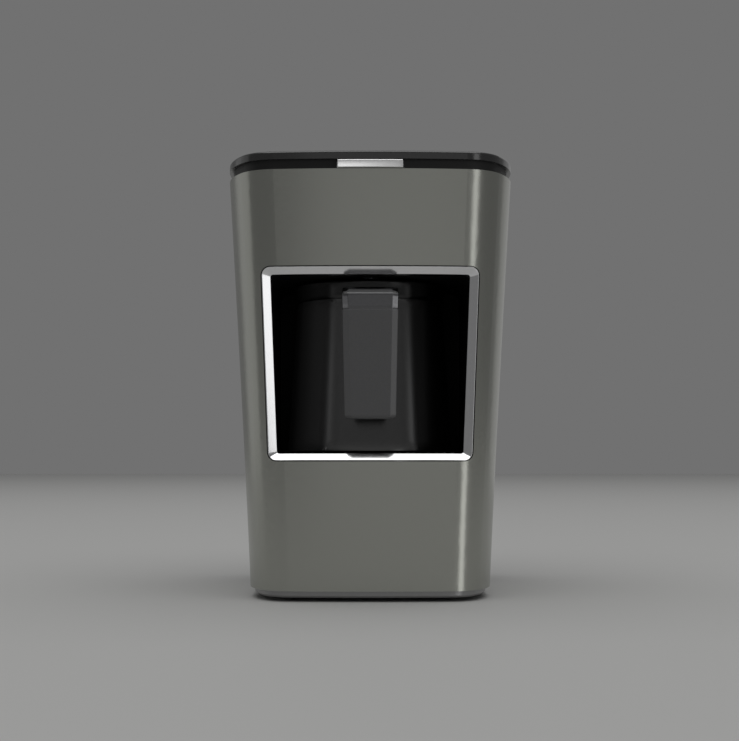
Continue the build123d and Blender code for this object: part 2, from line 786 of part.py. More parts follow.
def cord_gland():
    gland = rod_y(gland_neck_radius, rear_y - gland_neck, rear_y, gland_x, gland_z)
    gland += rod_y(gland_radius, rear_y, rear_y + gland_proud, gland_x, gland_z)
    gland = chamfer(gland.faces().sort_by(Axis.Y)[-1].edges(), gland_chamfer)
    return gland - rod_y(gland_bore_radius, rear_y - gland_neck - 1, rear_y + gland_proud + 1,
                         gland_x, gland_z)


def board_posts():
    return [(x, y) for x in (-board_half_width + board_inset, board_half_width - board_inset)
            for y in (board_front_y + board_inset, board_rear_y - board_inset)]


def cup_key_places():
    return [(i - (cup_key_count - 1) / 2) * cup_key_pitch for i in range(cup_key_count)]


def control_board():
    board = block(-board_half_width, board_half_width, board_front_y, board_rear_y,
                  board_top - board_thickness, board_top)
    for x, y in board_posts():
        board -= disc(screw_radius + fit_gap, board_top - board_thickness - past,
                      board_top + past, x, y)
    return board


def board_screws():
    seat = board_top - board_thickness
    return [screw(x, y, seat - screw_head, board_top + screw_grip) for x, y in board_posts()]


def key_switches():
    switches = []
    for x in cup_key_places():
        half = switch_side / 2
        case = block(x - half, x + half, cup_key_y - half, cup_key_y + half,
                     board_top, board_top + switch_rise)
        switches.append(case + disc(button_radius, board_top + switch_rise,
                                    board_top + switch_rise + button_rise, x, cup_key_y))
    return switches


def status_lenses():
    return [disc(lens_radius, board_top, overall_height, x, lens_y) for x in cup_key_places()]


def buzzer():
    can = disc(buzzer_radius, board_top, board_top + buzzer_height, buzzer_x, buzzer_y)
    top = board_top + buzzer_height
    return can - disc(buzzer_hole_radius, top - buzzer_hole_depth, top + past,
                      buzzer_x, buzzer_y)


def start_switch():
    nose_y = key_rear_y + stem_length + key_travel + free_play
    case_y = nose_y + switch_nose
    z = (key_bottom + key_top) / 2
    case = block(-switch_half_width, switch_half_width, case_y, case_y + switch_depth,
                 slab_bottom - switch_height, slab_bottom)
    return case + rod_y(switch_nose_radius, nose_y, case_y, 0, z)


# ---- start key -------------------------------------------------------------------------------
def start_key_bar():
    bar = block(-key_half_width, key_half_width, key_front_y, key_rear_y, key_bottom, key_top)
    bar = fillet(bar.faces().sort_by(Axis.Y)[0].edges(), key_edge)
    lip = key_half_width + key_lip_reach
    return bar + block(-lip, lip, key_rear_y - key_lip, key_rear_y, key_bottom, key_top)


def start_key_stem():
    z = (key_bottom + key_top) / 2
    return rod_y(stem_radius, key_rear_y, key_rear_y + stem_length, 0, z)


def guide_wall_y():
    return key_rear_y + key_spring_length


def start_key_guide():
    lip = key_half_width + key_lip_reach + key_gap
    front = front_y + band_inset + band_wall + guide_gap
    back = guide_wall_y()
    z = (key_bottom + key_top) / 2
    guide = block(-lip - guide_wall, lip + guide_wall, front, back + guide_wall,
                  shell_top - guide_floor, slab_bottom)
    guide -= block(-lip, lip, front - 1, back, shell_top, slab_bottom + 1)
    return guide - rod_y(stem_radius + stem_gap, back - 1, back + guide_wall + 1, 0, z)


def start_key_spring():
    z = (key_bottom + key_top) / 2
    spring = coil(key_spring_radius, 0, key_spring_length)
    return Pos(0, key_rear_y, z) * Rot(-90, 0, 0) * spring


def cup_key(x):
    flange_top = slab_bottom - slide_gap
    flange_bottom = flange_top - cup_key_flange
    cap = disc(cup_key_radius, flange_bottom, overall_height, x, cup_key_y)
    cap = fillet(cap.faces().sort_by(Axis.Z)[-1].edges(), cup_key_crown)
    cap += disc(cup_key_radius + cup_key_flange_reach, flange_bottom, flange_top, x, cup_key_y)
    stem_bottom = board_top + switch_rise + button_rise + cup_key_travel + free_play
    return cap + disc(cup_stem_radius, stem_bottom, flange_bottom, x, cup_key_y)


# ---- water tank ------------------------------------------------------------------------------
def tank_shell():
    shape = tank_part(tank_bottom, shell_top, 0)
    shape -= tank_part(tank_bottom + tank_wall, shell_top + 1, tank_wall)
    return shape - disc(valve_radius, tank_bottom - 1, tank_bottom + tank_wall + 1, 0, dock_y)


def hinge_notches(x_inner, width, gap):
    """Room in the rim for the lid's knuckles."""
    reach = knuckle_radius + gap
    notches = []
    for side in (-1, 1):
        x0, x1 = sorted((side * (x_inner - gap), side * (x_inner + width + gap)))
        notches.append(block(x0, x1, hinge_y - reach, rear_y + 1, hinge_z - reach,
                             slab_bottom + 1))
    return notches


def tank_rim():
    nest = tank_wall + fit_gap
    z0, z1 = shell_top - skirt_depth, shell_top
    skirt = tank_part(z0, z1, nest) - tank_part(z0 - 1, z1 + 1, nest + band_wall)
    band = tank_part(shell_top, slab_bottom, band_inset)
    band -= tank_part(shell_top - 1, slab_bottom + 1, band_inset + band_wall)
    rim = skirt + band
    for side in (-1, 1):
        x0, x1 = sorted((side * lug_x, side * (lug_x + lug_width)))
        lug = rod_x(knuckle_radius, x0, x1, hinge_y, hinge_z)
        lug += block(x0, x1, rear_y - band_inset - band_wall, hinge_y,
                     hinge_z - knuckle_radius, hinge_z + knuckle_radius)
        rim += lug
        rim -= rod_x(hinge_pin_radius, x0 - 1, x1 + 1, hinge_y, hinge_z)
    for notch in hinge_notches(knuckle_x(), knuckle_width, rim_notch_gap):
        rim -= notch
    return rim


def knuckle_x():
    return lug_x - slide_gap - knuckle_width


def hinge_pins():
    pins = []
    for side in (-1, 1):
        x0, x1 = sorted((side * knuckle_x(), side * (lug_x + lug_width)))
        pins.append(rod_x(hinge_pin_radius, x0, x1, hinge_y, hinge_z))
    return pins


def tank_valve_body():
    bottom, floor_top = tank_bottom - valve_drop, tank_bottom + tank_wall
    top = floor_top + valve_rise
    shape = ring(valve_radius, valve_radius - valve_wall, bottom, top, 0, dock_y)
    shape += ring(valve_radius, valve_hole, bottom, bottom + valve_floor, 0, dock_y)
    shape += ring(valve_radius + valve_flange, valve_radius - valve_wall, floor_top,
                  floor_top + valve_spider, 0, dock_y)
    spider = ring(valve_radius, plunger_pin_radius + pin_gap, top - valve_spider, top, 0, dock_y)
    for i in range(4):
        angle = math.radians(45 + 90 * i)
        spider -= disc(port_radius, top - 5, top + 1, port_circle * math.cos(angle),
                       dock_y + port_circle * math.sin(angle))
    return shape + spider


def seal_bottom():
    return tank_bottom - valve_drop + valve_floor


def valve_plunger():
    bottom = tank_bottom - valve_drop
    disc_bottom = seal_bottom() + seal_thickness
    pin_top = tank_bottom + tank_wall + valve_rise + plunger_pin_top
    shape = disc(plunger_stem_radius, bottom, disc_bottom, 0, dock_y)
    shape += disc(plunger_disc_radius, disc_bottom, disc_bottom + plunger_disc, 0, dock_y)
    return shape + disc(plunger_pin_radius, disc_bottom + plunger_disc, pin_top, 0, dock_y)


def valve_seal():
    return ring(plunger_disc_radius, plunger_stem_radius, seal_bottom(),
                seal_bottom() + seal_thickness, 0, dock_y)


def valve_spring():
    z0 = seal_bottom() + seal_thickness + plunger_disc
    z1 = tank_bottom + tank_wall + valve_rise - valve_spider
    return coil(valve_spring_radius, z0, z1, 0, dock_y)


def tank_lid_cover():
    lid = rounded_slab(tank_part(slab_bottom + lid_gap, overall_height, 0), tank_front_y)
    for side in (-1, 1):
        x0, x1 = sorted((side * knuckle_x(), side * (knuckle_x() + knuckle_width)))
        knuckle = rod_x(knuckle_radius, x0, x1, hinge_y, hinge_z)
        knuckle += block(x0, x1, hinge_y - knuckle_radius, hinge_y + knuckle_radius,
                         hinge_z, slab_bottom + lid_gap)
        lid += knuckle
        lid -= rod_x(hinge_pin_radius + pin_gap, x0 - 1, x1 + 1, hinge_y, hinge_z)
    return lid


def lid_gasket():
    z1 = slab_bottom + lid_gap
    z0 = z1 - gasket_depth
    return tank_part(z0, z1, gasket_inset) - tank_part(z0 - 1, z1 + 1,
                                                       gasket_inset + gasket_width)


# ---- pot -------------------------------------------------------------------------------------
def vessel_floor():
    return pot_bottom + pot_base_thickness


def pot_blank(shrink=0.0):
    """The pot's outer volume, or the volume inside its wall."""
    base = vessel_floor() + shrink
    top = rim_top + (pot_open_rise if shrink else -past)
    section = make_face(Polyline((0, base), (pot_base_radius - pot_corner - shrink, base),
                                 (pot_base_radius - shrink, base + pot_corner),
                                 (pot_neck_radius - shrink, rim_bottom),
                                 (pot_neck_radius - shrink, top), (0, top), close=True))
    return Pos(0, pot_y, 0) * revolve(Plane.XZ * section, axis=Axis.Z)


def lip_cones(shrink, rise=0.0):
    """The cones of the two pouring lips."""
    height = rim_top - rim_bottom
    reach = rim_radius + lip_reach - lip_radius
    cones = []
    for x in (-reach, reach):
        cone = Cone(lip_foot_radius, lip_radius - shrink, height)
        cones.append(Pos(x, pot_y, (rim_top + rim_bottom) / 2 + rise) * cone)
    return cones


def pot_vessel():
    vessel = pot_blank() - pot_blank(pot_wall)
    for cone in lip_cones(rim_wall, lip_hollow_rise):
        vessel -= cone
    return vessel


def pot_rim():
    outer = disc(rim_radius, rim_bottom, rim_top, 0, pot_y)
    for cone in lip_cones(0):
        outer += cone
    inner = disc(pot_neck_radius, rim_bottom - 1, rim_top - 1, 0, pot_y)
    inner += disc(pot_neck_radius - pot_wall, rim_bottom - 1, rim_top + 1, 0, pot_y)
    rim = outer - inner
    for cone in lip_cones(rim_wall, lip_hollow_rise):
        rim -= cone
    return rim


def pot_base_disc():
    return disc(pot_base_radius - pot_base_inset, pot_bottom, vessel_floor(), 0, pot_y)


def handle_slab(y0, y1, z0, z1):
    """A length of the handle: its width tapers downwards."""
    def half(z):
        share = (z - handle_bottom) / (handle_top - handle_bottom)
        return handle_half_bottom + (handle_half_top - handle_half_bottom) * share
    return extrude(facing(y1) * trapezoid(half(z0), half(z1), z0, z1), y1 - y0)


def tang(gap=0.0):
    """The bracket's tang, held between the halves of the grip."""
    y = handle_front_y + handle_split
    x, half = tang_half_width + gap, tang_half_thickness + gap
    return block(-x, x, y - half, y + half, handle_band_bottom - tang_length - gap,
                 handle_band_bottom)


def handle_screw_holes(radius, y0, y1):
    return [rod_y(radius, y0, y1, 0, z) for z in handle_screw_heights]


def handle_bracket():
    head = handle_slab(handle_front_y, handle_rear_y, handle_band_bottom, handle_band_top)
    fronts = [e for e in head.edges().filter_by(Axis.Z, tolerance=3)
              if e.center().Y < handle_front_y + 1]
    head = fillet(fronts, handle_corner)
    tongue = block(-tongue_half_width, tongue_half_width, handle_rear_y, pot_y,
                   handle_band_bottom + tongue_margin, handle_band_top - tongue_margin)
    tongue -= pot_blank()
    tongue -= disc(rim_radius, rim_bottom, rim_top, 0, pot_y)
    bracket = head + tongue + tang()
    for hole in handle_screw_holes(handle_screw_radius + fit_gap, handle_front_y - 1,
                                   handle_rear_y + 1)[1:]:
        bracket -= hole
    return bracket


def handle_half(y0, y1, outer_y):
    grip = handle_slab(y0, y1, handle_bottom, handle_band_bottom)
    bottom = [e for e in grip.edges().filter_by(Axis.Y) if e.center().Z < handle_bottom + 1]
    grip = fillet(bottom, handle_corner)
    rounded = grip.faces().sort_by(Axis.Y)[0 if outer_y == y0 else -1].edges()
    grip = fillet([e for e in rounded if e.center().Z < handle_band_bottom - 1],
                  grip_edge)
    return grip - tang(fit_gap)


def handle_front():
    split = handle_front_y + handle_split
    grip = handle_half(handle_front_y, split, handle_front_y)
    for hole in handle_screw_holes(handle_screw_radius, split - handle_screw_reach,
                                   split + past):
        grip -= hole
    return grip


def handle_rear():
    split = handle_front_y + handle_split
    grip = handle_half(split, handle_rear_y, handle_rear_y)
    for hole in handle_screw_holes(handle_screw_radius + fit_gap, split - 1, handle_rear_y + 1):
        grip -= hole
    for hole in handle_screw_holes(screw_head_radius + fit_gap, handle_rear_y - screw_head,
                                   handle_rear_y + 1):
        grip -= hole
    return grip


def handle_screws():
    split = handle_front_y + handle_split
    shanks = handle_screw_holes(handle_screw_radius, split - handle_screw_reach,
                                handle_rear_y - screw_head)
    heads = handle_screw_holes(screw_head_radius, handle_rear_y - screw_head, handle_rear_y)
    return [shank + head for shank, head in zip(shanks, heads)]


def handle_cap():
    cap = handle_slab(handle_front_y, handle_rear_y, handle_band_top, handle_top)
    return fillet(cap.faces().sort_by(Axis.Z)[-1].edges(), cap_edge)


# ---- all nodes -------------------------------------------------------------------------------
single_makers = [
    outer_shell, window_frame, cavity_liner, spine_wall, base_tray, rear_plinth, top_collar,
    control_deck, hot_plate, heating_element, thermostat, heat_shield, brew_head_cover,
    water_spout, sensor_window, cavity_lamp, pump_body, inlet_hose, outlet_hose, tank_dock,
    dock_seal, power_board, terminal_block, cord_gland, control_board, buzzer, start_switch,
    start_key_guide, start_key_bar, start_key_stem, start_key_spring, tank_shell, tank_rim,
    tank_valve_body, valve_plunger, valve_seal, valve_spring, tank_lid_cover, lid_gasket,
    pot_vessel, pot_rim, pot_base_disc, handle_bracket, handle_front, handle_rear, handle_cap,
]
group_makers = [
    liner_legs, base_screws, rubber_feet, deck_screws, pump_cushions, power_components,
    board_screws, key_switches, status_lenses, hinge_pins, handle_screws,
]

nodes = {make.__name__: make() for make in single_makers}
nodes.update({make.__name__: Compound(children=make()) for make in group_makers})
for number, place in enumerate(cup_key_places(), start=1):
    nodes[f"cup_key_{number}"] = cup_key(place)

os.makedirs("parts", exist_ok=True)
for name, shape in nodes.items():
    export_step(shape, f"parts/{name}.step")
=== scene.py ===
import json
import math

import bmesh
import bpy
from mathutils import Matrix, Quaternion, Vector


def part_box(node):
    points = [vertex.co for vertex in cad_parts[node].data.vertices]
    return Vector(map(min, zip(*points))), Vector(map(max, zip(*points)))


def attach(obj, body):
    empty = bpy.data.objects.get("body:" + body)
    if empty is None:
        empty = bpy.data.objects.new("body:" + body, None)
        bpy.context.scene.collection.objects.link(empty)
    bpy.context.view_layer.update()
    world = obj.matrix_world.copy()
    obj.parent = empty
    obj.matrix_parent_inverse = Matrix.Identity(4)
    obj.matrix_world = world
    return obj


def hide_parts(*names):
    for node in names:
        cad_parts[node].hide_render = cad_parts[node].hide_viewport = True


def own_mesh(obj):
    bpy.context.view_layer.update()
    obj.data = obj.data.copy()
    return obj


# Looks of an electric Turkish coffee maker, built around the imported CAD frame. All lengths are
# in metres, and Y runs from the front to the back.

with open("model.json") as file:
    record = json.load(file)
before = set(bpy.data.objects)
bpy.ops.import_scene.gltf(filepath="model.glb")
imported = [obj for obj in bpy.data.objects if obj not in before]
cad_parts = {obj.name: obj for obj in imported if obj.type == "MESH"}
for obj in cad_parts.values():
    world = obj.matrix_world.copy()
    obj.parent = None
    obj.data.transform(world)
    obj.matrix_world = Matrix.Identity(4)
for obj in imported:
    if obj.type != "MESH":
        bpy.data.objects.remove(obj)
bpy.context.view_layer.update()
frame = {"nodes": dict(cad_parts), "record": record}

MM, MICRON = 0.001, 0.000001
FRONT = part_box("outer_shell")[0][1]          # the foremost line of the curved shell

# The camera: a long lens, low, looking slightly up. The focal length and the picture's height
# are in the photograph's pixels.
CAMERA_X = -0.00046
CAMERA_DISTANCE = 0.875
CAMERA_HEIGHT = 0.092
CAMERA_PITCH = math.radians(3.291)
FOCAL_PIXELS = 1418.6
PICTURE_HEIGHT = 741.0
SENSOR = 36.0
CAMERA_CLIP = 0.05, 50.0

# The body's plan, as in the CAD.
SHELL_BOTTOM, SHELL_TOP = 6.6 * MM, 268.6 * MM
FOOT_HALF, TOP_HALF = 76.9 * MM, 92.6 * MM
FLARE_POWER = 1.08
FRONT_RADIUS = 640.0 * MM
SIDE_RADIUS, CORNER_RADIUS = 79.0 * MM, 27.5 * MM
SIDE_SWEEP = math.radians(30.0)

# The window's frame.
FRAME_BOTTOM, FRAME_TOP = 86.4 * MM, 207.7 * MM
FRAME_HALF_BOTTOM, FRAME_HALF_TOP = 63.6 * MM, 68.6 * MM
BAR_BOTTOM, BAR_TOP, BAR_SIDE = 4.8 * MM, 5.1 * MM, 6.0 * MM
FRAME_DEPTH = 12.0 * MM
SET_BACK_MIDDLE, SET_BACK_SIDE = 3.1 * MM, 5.0 * MM    # of the inner edge, behind the arc
SET_BACK_POWER = 8                           # how late it turns from the one to the other
FRAME_CORNER, FRAME_INNER_CORNER = 5.6 * MM, 1.4 * MM
FRAME_GAP = 0.4 * MM                         # its outer edge lies this far inside the CAD's
LIP_ROUND, INNER_ROUND = 0.55 * MM, 0.35 * MM
LIP_SUNK = 0.1 * MM                          # the frame's outer edge, behind the shell's surface
SUPPORT = 0.15 * MM                          # from a rounding to the points that keep it crisp
FRAME_CORNER_STEPS, FRAME_SIDE_STEPS = 14, (48, 24)

# The start key's bar.
KEY_LIP, KEY_LIP_REACH = 2.0 * MM, 1.2 * MM  # the lip's thickness, and its reach past the bar
KEY_EDGE, KEY_END_EDGE, KEY_LIP_EDGE = 0.7 * MM, 0.45 * MM, 0.3 * MM


# ---- meshes ------------------------------------------------------------------------------------
CORNER_STEPS = 6                             # round a small corner


def rounded_loop(corners, radii, corner_steps, side_steps):
    """Points round a convex outline with rounded corners.

    The radii and the side steps are used in turn, from the first corner and side on.
    """
    arcs = []
    for i, corner in enumerate(corners):
        radius = radii[i % len(radii)]
        back = (corners[i - 1] - corner).normalized()
        ahead = (corners[(i + 1) % len(corners)] - corner).normalized()
        half = back.angle(ahead) / 2
        centre = corner + (back + ahead).normalized() * radius / math.sin(half)
        a = corner + back * radius / math.tan(half) - centre
        b = corner + ahead * radius / math.tan(half) - centre
        sweep = a.angle(b)
        shares = (k / corner_steps for k in range(corner_steps + 1))
        arcs.append([centre + (a * math.sin(sweep * (1 - t)) + b * math.sin(sweep * t))
                     / math.sin(sweep) for t in shares])
    points = []
    for i, arc in enumerate(arcs):
        points += arc
        steps = side_steps[i % len(side_steps)]
        follow = arcs[(i + 1) % len(arcs)][0]
        points += [arc[-1].lerp(follow, k / steps) for k in range(1, steps)]
    return points


def skin(shape, rings, closed=False, caps=False):
    """Quads over a row of closed rings with the same number of points."""
    rows = [[shape.verts.new(point) for point in ring] for ring in rings]
    count = len(rows[0])
    pairs = list(zip(rows, rows[1:])) + ([(rows[-1], rows[0])] if closed else [])
    for low, high in pairs:
        for i in range(count):
            j = (i + 1) % count
            shape.faces.new((low[i], low[j], high[j], high[i]))
    if caps:
        shape.faces.new(rows[0][::-1])
        shape.faces.new(rows[-1])


def piece(name, shape, material, slot, body, *replaced, crease=40.0):
    """Makes an object of a mesh. It rides on a body and may stand for CAD nodes."""
    bmesh.ops.recalc_face_normals(shape, faces=shape.faces)
    mesh = bpy.data.meshes.new(name)
    shape.to_mesh(mesh)
    shape.free()
    mesh.shade_smooth()
    mesh.set_sharp_from_angle(angle=math.radians(crease))
    mesh.materials.append(material)
    thing = bpy.data.objects.new(name, mesh)
    bpy.context.collection.objects.link(thing)
    if replaced:
        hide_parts(*replaced)
    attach(thing, body)
    return thing


def bend(corner, before, after, radius, steps=5):
    """Points round a corner, from the side of one direction to the side of the other."""
    start, end = corner + before * radius, corner + after * radius
    return [start * (1 - t) ** 2 + corner * (2 * t * (1 - t)) + end * t ** 2
            for t in (k / steps for k in range(steps + 1))]


# ---- the window's frame ------------------------------------------------------------------------
def half_width(z):
    """Half the shell's width at a height."""
    rise = min(max((z - SHELL_BOTTOM) / (SHELL_TOP - SHELL_BOTTOM), 0.0), 1.0)
    return FOOT_HALF + (TOP_HALF - FOOT_HALF) * rise ** FLARE_POWER


def arc_y(x):
    """The front's wide arc."""
    return FRONT + FRONT_RADIUS - math.sqrt(FRONT_RADIUS ** 2 - x * x)


def shell_y(x, z):
    """The shell's front surface: the wide arc, and a rounded corner at each side."""
    scale = half_width(z) / TOP_HALF
    side, corner = SIDE_RADIUS * scale, CORNER_RADIUS * scale
    corner_x = half_width(z) - side + (side - corner) * math.cos(SIDE_SWEEP)
    reach = FRONT_RADIUS - corner
    corner_y = FRONT + FRONT_RADIUS - math.sqrt(reach ** 2 - corner_x ** 2)
    if abs(x) <= corner_x * FRONT_RADIUS / reach:
        return arc_y(x)
    return corner_y - math.sqrt(corner ** 2 - (abs(x) - corner_x) ** 2)


FRAME_TAPER = (FRAME_HALF_TOP - FRAME_HALF_BOTTOM) / (FRAME_TOP - FRAME_BOTTOM)


def sill_y(x, z):
    """The frame's inner edge: it turns back a little more just before the corners."""
    half = FRAME_HALF_BOTTOM - BAR_SIDE + (z - FRAME_BOTTOM) * FRAME_TAPER
    share = min(abs(x) / half, 1.0) ** SET_BACK_POWER
    return arc_y(x) + SET_BACK_MIDDLE + (SET_BACK_SIDE - SET_BACK_MIDDLE) * share


def frame_loops():
    """The frame's outer and inner outlines, with matching points."""

    def loop(half_at_bottom, z0, z1, radius):
        low = half_at_bottom + (z0 - FRAME_BOTTOM) * FRAME_TAPER
        high = half_at_bottom + (z1 - FRAME_BOTTOM) * FRAME_TAPER
        corners = [Vector(p) for p in ((-low, z0), (low, z0), (high, z1), (-high, z1))]
        return rounded_loop(corners, [radius], FRAME_CORNER_STEPS, FRAME_SIDE_STEPS)

    gap = FRAME_GAP
    outer = loop(FRAME_HALF_BOTTOM - gap, FRAME_BOTTOM + gap, FRAME_TOP - gap,
                 FRAME_CORNER - gap)
    inner = loop(FRAME_HALF_BOTTOM - BAR_SIDE, FRAME_BOTTOM + BAR_BOTTOM, FRAME_TOP - BAR_TOP,
                 FRAME_INNER_CORNER)
    return outer, inner


def make_window_frame(materials):
    """A bevelled ring: a fine rounded lip at the shell, then a wide slope to the window."""
    deeper = Vector((0.0, 1.0, 0.0))
    sections = []
    for (xo, zo), (xi, zi) in zip(*frame_loops()):
        edge = Vector((xo, shell_y(xo, zo) + LIP_SUNK, zo))
        sill = Vector((xi, sill_y(xi, zi), zi))
        slope = (sill - edge).normalized()
        back = FRONT + FRAME_DEPTH
        sections.append(
            [Vector((xo, back, zo)), edge + deeper * (LIP_ROUND + SUPPORT)]
            + bend(edge, deeper, slope, LIP_ROUND)
            + [edge + slope * (LIP_ROUND + SUPPORT), sill - slope * (INNER_ROUND + SUPPORT)]
            + bend(sill, -slope, deeper, INNER_ROUND)
            + [sill + deeper * (INNER_ROUND + SUPPORT), Vector((xi, back, zi))])
    shape = bmesh.new()
    skin(shape, list(zip(*sections)), closed=True)
    piece("bevelled_frame", shape, materials["frame_chrome"], "frame_chrome", "housing",
          "window_frame", crease=60.0)


# ---- start key ---------------------------------------------------------------------------------
BAR_EDGE_STEPS, BAR_STEPS = 5, 16


def bar_rings(low, high, edge, end_edge, follow):
    """Rings along X of a bar with rounded edges and ends. Its front may follow the shell."""
    half = high[0]
    inner = half - end_edge
    turns = [math.radians(90 * k / BAR_EDGE_STEPS) for k in range(BAR_EDGE_STEPS + 1)]
    start = [(-half + end_edge * (1 - math.cos(a)), end_edge * (1 - math.sin(a))) for a in turns]
    middle = [(-inner + 2 * inner * k / BAR_STEPS, 0.0) for k in range(1, BAR_STEPS)]
    rings = []
    for x, inset in start + middle + [(-x, inset) for x, inset in reversed(start)]:
        drop = arc_y(x) - FRONT if follow else 0.0
        corners = [Vector((low[1] + inset, low[2] + inset)), Vector((high[1], low[2] + inset)),
                   Vector((high[1], high[2] - inset)), Vector((low[1] + inset, high[2] - inset))]
        loop = rounded_loop(corners, [edge - min(inset, edge * 0.5)], CORNER_STEPS, (2, 2))
        rings.append([Vector((x, y + drop * (high[1] - y) / (high[1] - low[1]), z))
                      for y, z in loop])
    return rings


def make_start_key(materials):
    """The metal bar at the top of the front, and the wider lip that keeps it in."""
    low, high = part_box("start_key_bar")
    shape = bmesh.new()
    bar = bar_rings((low.x + KEY_LIP_REACH, low.y, low.z),
                    (high.x - KEY_LIP_REACH, high.y - KEY_LIP, high.z),
                    KEY_EDGE, KEY_END_EDGE, follow=True)
    lip = bar_rings((low.x, high.y - KEY_LIP, low.z), tuple(high),
                    KEY_LIP_EDGE, KEY_LIP_EDGE, follow=False)
    skin(shape, bar, caps=True)
    skin(shape, lip, caps=True)
    return piece("start_key", shape, materials["key_metal"], "key_metal", "start_key",
                 "start_key_bar", crease=50.0)


# ---- pot ---------------------------------------------------------------------------------------
POT_WALL, POT_RIM_THICK = 1.2 * MM, 1.8 * MM
POT_NECK_IN, POT_GROOVE = 0.6 * MM, 0.12 * MM    # of the body's top and the groove over it
POT_STEPS, POT_RIM_STEPS, POT_SIDES = 14, 8, 160
POT_FOOT_ROUNDING = ((1.4, 0.0), (0.6, 0.0), (0.25, 0.1), (0.06, 0.3), (0.0, 0.6))  # in, up; mm
POT_LIP_REACH, POT_LIP_RISE = 1.55 * MM, 3.4 * MM
POT_LIP_WIDTH = 0.15                             # radians round the rim
POT_LIP_POWER = 1.3


def make_pot(materials):
    """The pot's conical body with its collar, turned, with a small pouring lip at each side."""
    vessel_low, vessel_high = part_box("pot_vessel")
    rim_low, rim_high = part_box("pot_rim")
    centre_y = (rim_low.y + rim_high.y) / 2
    foot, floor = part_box("pot_base_disc")[0].z, vessel_low.z
    top, collar = rim_high.z, rim_low.z
    base_radius = (vessel_high.y - vessel_low.y) / 2
    rim_radius = (rim_high.y - rim_low.y) / 2
    neck = rim_radius - POT_NECK_IN
    roll = POT_RIM_THICK / 2

    # Outside, from the foot to the rim.
    profile = [(base_radius - into * MM, foot + up * MM) for into, up in POT_FOOT_ROUNDING]
    low = profile[-1]
    high = (neck, collar - 0.5 * MM)
    cone = [((high[0] - low[0]) * k / POT_STEPS, low[1] + (high[1] - low[1]) * k / POT_STEPS)
            for k in range(POT_STEPS + 1)]
    profile += [(low[0] + out, z) for out, z in cone[1:]]
    profile += [(neck - POT_GROOVE, collar - 0.1 * MM), (neck - POT_GROOVE, collar + 0.25 * MM),
                (rim_radius - 0.25 * MM, collar + 0.35 * MM), (rim_radius, collar + 0.7 * MM)]
    levels = (collar + 3 * MM, top - 5 * MM, top - 3.4 * MM, top - 2.6 * MM, top - 1.7 * MM)
    profile += [(rim_radius, z) for z in levels]
    for k in range(POT_RIM_STEPS + 1):
        turn = math.pi * k / POT_RIM_STEPS
        profile.append((rim_radius - roll + roll * math.cos(turn),
                        top - roll + roll * math.sin(turn)))

    # Inside, from the rim to the floor.
    profile += [(rim_radius - POT_RIM_THICK, z) for z in reversed(levels)]
    profile += [(neck - POT_WALL, high[1])]
    profile += [(low[0] - POT_WALL + out, z) for out, z in reversed(cone[2:-1])]
    profile += [(base_radius - POT_WALL - 0.7 * MM, floor + POT_WALL)]

    rings = []
    for radius, z in profile:
        rise = min(max((z - (top - POT_LIP_RISE)) / POT_LIP_RISE, 0.0), 1.0) ** POT_LIP_POWER
        ring = []
        for k in range(POT_SIDES):
            angle = 2 * math.pi * k / POT_SIDES
            away = min(abs(math.remainder(angle, 2 * math.pi)),
                       abs(math.remainder(angle - math.pi, 2 * math.pi)))
            reach = radius + POT_LIP_REACH * rise * math.exp(-(away / POT_LIP_WIDTH) ** 2)
            ring.append(Vector((reach * math.cos(angle), centre_y + reach * math.sin(angle), z)))
        rings.append(ring)
    shape = bmesh.new()
    skin(shape, rings, caps=True)
    return piece("pot_body", shape, materials["pot_metal"], "pot_metal", "coffee_pot",
                 "pot_vessel", "pot_rim", "pot_base_disc", crease=50.0)


# ---- handle ------------------------------------------------------------------------------------
FACET_WIDTH, FACET_DEPTH = 3.6 * MM, 2.1 * MM     # of the slanted facet at each front corner
FACET_ROUND, REAR_CORNER = 1.2 * MM, 2.0 * MM
CAP_SKIRT = 2.2 * MM                         # how far the cap reaches down over the band
BAND_GROOVE, BAND_EDGE = 0.3 * MM, 0.25 * MM
TONGUE_HALF, TONGUE_MARGIN, TONGUE_CORNER = 9.0 * MM, 2.0 * MM, 1.5 * MM
TONGUE_IN_BAND, TONGUE_IN_POT = 0.5 * MM, 1.4 * MM
GRIP_FOOT_HALF, GRIP_TOP_MARGIN, GRIP_STEPS = 15.8 * MM, 0.4 * MM, 8
GRIP_FOOT_ROUND, GRIP_FACE_ROUND = 3.0 * MM, 2.4 * MM
GRIP_TOP_EDGE, GRIP_JOINT_CORNER = 0.12 * MM, 0.15 * MM


def handle_ring(half, y0, y1, z, rear=REAR_CORNER):
    """The handle's plan: flat in front, a slanted facet at each side, and square behind."""
    flat, side = half - FACET_WIDTH, y0 + FACET_DEPTH
    corners = [Vector(p) for p in ((-flat, y0), (flat, y0), (half, side), (half, y1),
                                   (-half, y1), (-half, side))]
    radii = (FACET_ROUND, FACET_ROUND, FACET_ROUND, rear, rear, FACET_ROUND)
    loop = rounded_loop(corners, radii, CORNER_STEPS, (8, 3, 4, 8, 4, 3))
    return [Vector((x, y, z)) for x, y in loop]


